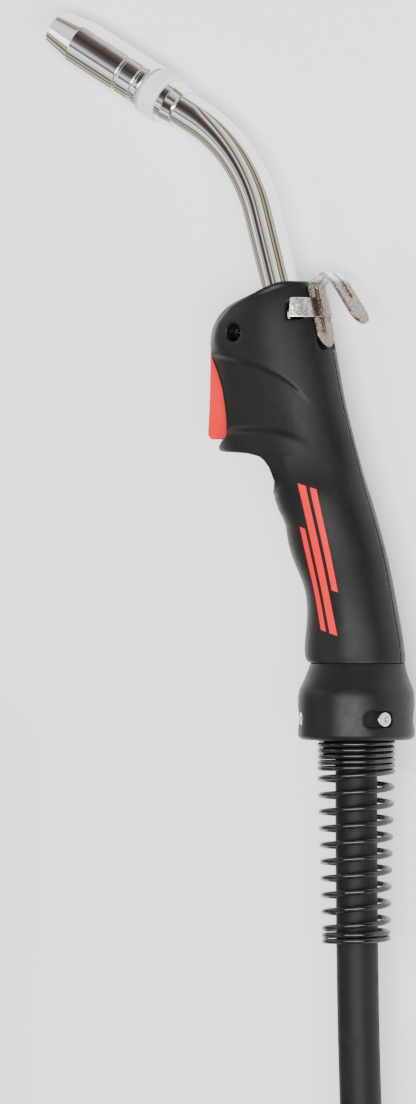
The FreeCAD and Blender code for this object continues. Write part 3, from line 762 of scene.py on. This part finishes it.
def add_nozzle():
    """The gas nozzle, its insulator and the contact tip, as (radius, distance from the tip)."""
    outline = [
        (7.3, 0.0), (8.3, 0.0), (8.6, 0.3), (11.0, 14.1), (11.0, 40.6), (10.5, 40.8),
        (10.5, 42.0), (11.0, 42.2), (11.0, 49.6), (10.5, 49.8), (10.5, 51.0), (11.0, 51.2),
        (11.0, 53.4), (10.5, 53.9), (9.0, 53.9), (9.0, 14.5), (7.3, 6.0),
    ]
    turned = lathe("gas_nozzle_mesh", eased(outline, 0.3), TIP, FROM_TIP)
    piece = add_piece("gas_nozzle_finished", turned, "chrome", "nozzle")
    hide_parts("gas_nozzle")
    insulator = [
        (6.45, 38.2), (8.7, 38.2), (8.95, 38.5), (8.95, 40.5), (7.9, 40.5), (7.9, 46.0),
        (8.95, 46.0), (8.95, 54.0), (9.6, 54.0), (11.0, 55.6), (11.0, 62.6), (10.4, 63.2),
        (6.45, 63.2),
    ]
    turned = lathe("insulator_mesh", eased(insulator, 0.4), TIP, FROM_TIP)
    piece = add_piece("insulator_finished", turned, "ceramic", "torch")
    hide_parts("nozzle_insulator")
    softened("contact_tip", voxel=0.2, passes=2, slot="copper")


# ---- springs ----
def spring_line(stages, start, direction, per_turn=56):
    """Centre line of a right-handed wire from (pitch, turns, first radius, last radius) stages."""
    turn = direction.to_track_quat("Z", "Y").to_matrix()
    line, height, angle = [], 0.0, 0.0
    for pitch, turns, first_r, last_r in stages:
        steps = round(turns * per_turn)
        for k in range(steps):
            share = k / steps
            bearing = angle + 2 * math.pi * turns * share
            radius = first_r + (last_r - first_r) * share
            along = height + pitch * turns * share
            local = Vector((radius * math.cos(bearing), radius * math.sin(bearing), along))
            line.append(start + turn @ local)
        height += pitch * turns
        angle += 2 * math.pi * turns
    return line


def add_springs():
    """The two bend springs; the connector's is returned, because it lies along the cable."""
    torch = [(2.42, 7.0, 15.15, 15.15), (6.9, 9.5, 15.15, 13.25), (2.45, 2.0, 13.25, 13.25)]
    line = spring_line(torch, SPRING_TOP, TOWARDS_CABLE)
    wire = sweep("bend_spring_mesh", line, ring(SPRING_WIRE_R, sides=16))
    piece = add_piece("bend_spring_finished", wire, "spring_steel", "torch")
    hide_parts("bend_spring")
    plug = [(2.45, 3.5, 13.25, 13.25), (6.4, 5.0, 13.25, 12.6), (2.45, 2.5, 12.6, 12.6)]
    line = spring_line(plug, PLUG_REAR + PLUG_SPRING_INSET, TOWARDS_CABLE)
    wire = sweep("plug_spring_mesh", line, ring(SPRING_WIRE_R, sides=16))
    piece = add_piece("plug_spring_finished", wire, "spring_steel", "torch", FLOOR_FRAME)
    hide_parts("plug_bend_spring")
    return piece


# ---- the cable, its coil and its connector ----
def coil_route():
    """Turns of the put-away cable: two on top going inward, then three below going outward."""
    step, whole = 20, 1620
    top_in, top_out = UPPER_RUNS
    low_in, low_middle, low_out = LOWER_RUNS
    points = []
    for angle in range(0, whole, step):
        radius = np.interp(
            angle, (0, 330, 390, 680, 710, 1010, 1040, 1370, 1400),
            (top_out, top_out, top_in, top_in, low_in, low_in, low_middle, low_middle, low_out))
        height = np.interp(angle, (640, 655, 680, 710),
                           (UPPER_HEIGHT, HUMP_HEIGHT, HUMP_HEIGHT, CABLE_R))
        reach = radius / math.cos(math.radians(step) / 2)
        bearing = math.radians(angle)
        points.append((COIL_CENTRE.x + reach * math.cos(bearing),
                       COIL_CENTRE.y - reach * math.sin(bearing), height))
    return points


def add_cable():
    """The cable on one smooth line, from the torch through the coil to the connector."""
    route = list(LEAD_ROUTE) + coil_route() + list(TAIL_ROUTE)
    data = bpy.data.curves.new("cable_line", "CURVE")
    data.dimensions = "3D"
    spline = data.splines.new("NURBS")
    spline.points.add(len(route) - 1)
    for point, place in zip(spline.points, route):
        point.co = (*(Vector(place) * MM), 1.0)
    spline.order_u = 3
    spline.use_endpoint_u = True
    spline.resolution_u = 6
    data.bevel_depth = CABLE_R * MM
    data.bevel_resolution = 7
    data.use_fill_caps = True
    data.materials.append(MATERIALS["cable_rubber"].material)
    cable = shown("cable", data)
    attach(cable, "torch")
    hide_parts("cable_lead", "cable_coil", "cable_tail")


def coil_outline(radius):
    """Hull round the coil's five runs, as (distance from the coil's middle, height) points."""
    above_floor = 0.55
    runs = [(at, CABLE_R) for at in LOWER_RUNS] + [(at, UPPER_HEIGHT) for at in UPPER_RUNS]
    spots = []
    for run_radius, height in runs:
        for a, b in ring(radius, sides=64):
            spots.append((run_radius + a, max(height + b, above_floor)))
    spots = sorted(set(spots))
    hull = []
    for ordered in (spots, spots[::-1]):
        side = []
        for spot in ordered:
            while len(side) > 1 and turns_right(side[-2], side[-1], spot):
                side.pop()
            side.append(spot)
        hull += side[:-1]
    return hull


def turns_right(a, b, c):
    """Whether the way from a through b to c turns right or goes straight on."""
    return (b[0] - a[0]) * (c[1] - a[1]) - (b[1] - a[1]) * (c[0] - a[0]) <= 0


def evenly(points, gap):
    """A closed outline's points at equal distances along it."""
    loop = np.array(points + points[:1])
    reach = np.concatenate(([0.0], np.cumsum(np.linalg.norm(np.diff(loop, axis=0), axis=1))))
    stops = np.linspace(0.0, reach[-1], int(reach[-1] / gap), endpoint=False)
    return [(float(np.interp(s, reach, loop[:, 0])), float(np.interp(s, reach, loop[:, 1])))
            for s in stops]


def strap_path(radius, bearing):
    """A strap's way round the coil's runs, at a distance from the middle of each."""
    outward = Vector((math.cos(bearing), math.sin(bearing), 0.0))
    return [COIL_CENTRE + outward * a + Vector((0.0, 0.0, b))
            for a, b in evenly(coil_outline(radius), STRAP_STEP)]


def strap_uv(mesh, rows):
    """Length and width of the strap as texture places, in metres."""
    layer = mesh.uv_layers.new(name="strap")
    count = len(mesh.vertices) // rows
    for loop in mesh.loops:
        row, column = divmod(loop.vertex_index, count)
        layer.data[loop.index].uv = (row * STRAP_STEP * MM, column / count * STRAP_GIRTH * MM)


def add_ties():
    """Two hook-and-loop straps round the coil, each with its free end laid over itself."""
    a, b = STRAP_THICKNESS / 2, STRAP_WIDTH / 2
    flat = eased([(-a, -b), (a, -b), (a, b), (-a, b)], 0.3, 2)
    ties = []
    for label, degrees in (("first", 35.0), ("second", 125.0)):
        bearing = math.radians(degrees)
        across = Vector((-math.sin(bearing), math.cos(bearing), 0.0))
        loop = strap_path(STRAP_R, bearing)
        mesh = sweep("strap_mesh", loop, flat, side=across, closed=True)
        strap_uv(mesh, len(loop))
        ties.append(add_piece(f"tie_{label}_strap", mesh, "tie_fabric", "torch", FLOOR_FRAME))
        over = strap_path(LAP_R, bearing)
        third = len(over) // 3
        lap = over[third:third + LAP_STEPS]
        mesh = sweep("strap_end_mesh", lap, flat, side=across)
        strap_uv(mesh, len(lap))
        ties.append(add_piece(f"tie_{label}_end", mesh, "tie_fabric", "torch", FLOOR_FRAME))
    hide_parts("coil_ties")
    return ties


def add_connector():
    """Connector pieces, evenly meshed and eased: voxel, passes, slot and body of each."""
    table = (
        ("plug_shell_left", 0.4, 3, "plug_plastic", "torch"),
        ("plug_shell_right", 0.4, 3, "plug_plastic", "torch"),
        ("plug_nut", 0.38, 3, "plug_plastic", "nut"),
        ("plug_insulator", 0.35, 2, "plug_plastic", "torch"),
        ("plug_body", 0.35, 2, "brass", "torch"),
        ("plug_wire_pin", 0.22, 2, "brass", "torch"),
        ("liner_nut", 0.22, 2, "brass", "torch"),
        ("plug_screws", 0.2, 2, "bright_steel", "torch"),
        ("control_pin_left", 0.14, 2, "brass", "pin_left"),
        ("control_pin_right", 0.14, 2, "brass", "pin_right"),
    )
    return [softened(node, voxel, passes, slot, body, FLOOR_FRAME)
            for node, voxel, passes, slot, body in table]


# ---- studio ----
def add_floor():
    """Plain pale floor, large enough for every view."""
    half = 6.0
    mesh = bpy.data.meshes.new("floor_mesh")
    corners = [(-half, -half, 0), (half, -half, 0), (half, half, 0), (-half, half, 0)]
    mesh.from_pydata(corners, [], [(0, 1, 2, 3)])
    floor = shown("floor", mesh)
    finish = Finish("floor_look", Roughness=0.75, Emission_Strength=0.45)
    finish.shader.inputs["Emission Color"].default_value = (*WHITE, 1.0)
    finish.colour(finish.mix(finish.noise(6.0), (0.92, 0.92, 0.92), (0.95, 0.95, 0.95)))
    mesh.materials.append(finish.material)


def add_softbox(name, offset, size, power, colour=WHITE):
    """A rectangular softbox that faces the torch; offset and size in metres, power in watts."""
    target = TORCH @ (Vector((-50.0, 120.0, 0.0)) * MM)
    lamp = bpy.data.lights.new(name, "AREA")
    lamp.shape = "RECTANGLE"
    lamp.size, lamp.size_y = size
    lamp.energy = power
    lamp.color = colour
    facing = Vector(offset).to_track_quat("Z", "Y").to_matrix().to_4x4()
    shown(name, lamp, Matrix.Translation(target + Vector(offset)) @ facing)


def add_surroundings():
    """Studio walls all round: pale bands and dark gaps, by direction about the handle's length."""
    world = bpy.data.worlds.new("studio")
    world.use_nodes = True
    nodes, links = world.node_tree.nodes, world.node_tree.links
    place = nodes.new("ShaderNodeTexCoord").outputs["Generated"]
    split = nodes.new("ShaderNodeSeparateXYZ")
    links.new(place, split.inputs["Vector"])
    angle = nodes.new("ShaderNodeMath")
    angle.operation = "ARCTAN2"
    links.new(split.outputs["X"], angle.inputs[0])
    links.new(split.outputs["Z"], angle.inputs[1])
    share = nodes.new("ShaderNodeMapRange")
    share.inputs["From Min"].default_value = -math.pi
    share.inputs["From Max"].default_value = math.pi
    links.new(angle.outputs["Value"], share.inputs["Value"])
    ramp = nodes.new("ShaderNodeValToRGB")
    ramp.color_ramp.interpolation = "EASE"
    bands = (
        (0.00, (0.60, 0.60, 0.60)), (0.235, (0.60, 0.60, 0.59)), (0.25, (0.12, 0.115, 0.11)),
        (0.285, (1.60, 1.50, 1.35)), (0.305, (0.14, 0.12, 0.105)), (0.325, (1.30, 1.15, 0.75)),
        (0.345, (0.02, 0.028, 0.025)), (0.36, (1.50, 1.60, 1.70)), (0.395, (2.60, 2.60, 2.60)),
        (0.405, (0.03, 0.04, 0.045)), (0.418, (1.50, 1.60, 1.70)), (0.438, (0.22, 0.19, 0.18)),
        (0.455, (0.10, 0.078, 0.072)), (0.475, (0.25, 0.20, 0.185)), (0.492, (2.00, 1.80, 1.65)),
        (0.51, (0.14, 0.11, 0.10)), (0.55, (1.50, 1.45, 1.40)), (0.60, (2.40, 2.40, 2.40)),
        (0.625, (0.02, 0.02, 0.022)), (0.645, (1.20, 1.00, 0.50)), (0.68, (0.13, 0.105, 0.09)),
        (0.72, (1.50, 1.42, 1.35)), (0.755, (0.08, 0.07, 0.065)), (0.79, (0.60, 0.60, 0.60)),
    )
    steps = ramp.color_ramp.elements
    while len(steps) < len(bands):
        steps.new(0.5)
    for step, (at, colour) in zip(steps, bands):
        step.position = at
        step.color = (*colour, 1.0)
    links.new(share.outputs["Result"], ramp.inputs["Fac"])
    background = nodes["Background"]
    links.new(ramp.outputs["Color"], background.inputs["Color"])
    background.inputs["Strength"].default_value = 0.6
    bpy.context.scene.world = world


def add_studio():
    """Floor, surroundings and two softboxes."""
    add_floor()
    add_surroundings()
    add_softbox("overhead", offset=(0.75, -0.2, 1.65), size=(0.5, 2.2), power=62.0)
    add_softbox("side", offset=(-1.7, 0.6, 1.1), size=(0.7, 1.4), power=8.0,
                colour=(1.0, 0.97, 0.94))


add_camera()
MATERIALS = {**make_plastics(), **make_metals(), "ceramic": ceramic(), "tie_fabric": woven()}
dress_frame(MATERIALS)
pieces = [add_springs()] + add_connector() + add_ties()
add_cable()
add_handle()
add_hook()
add_neck()
add_nozzle()
add_studio()
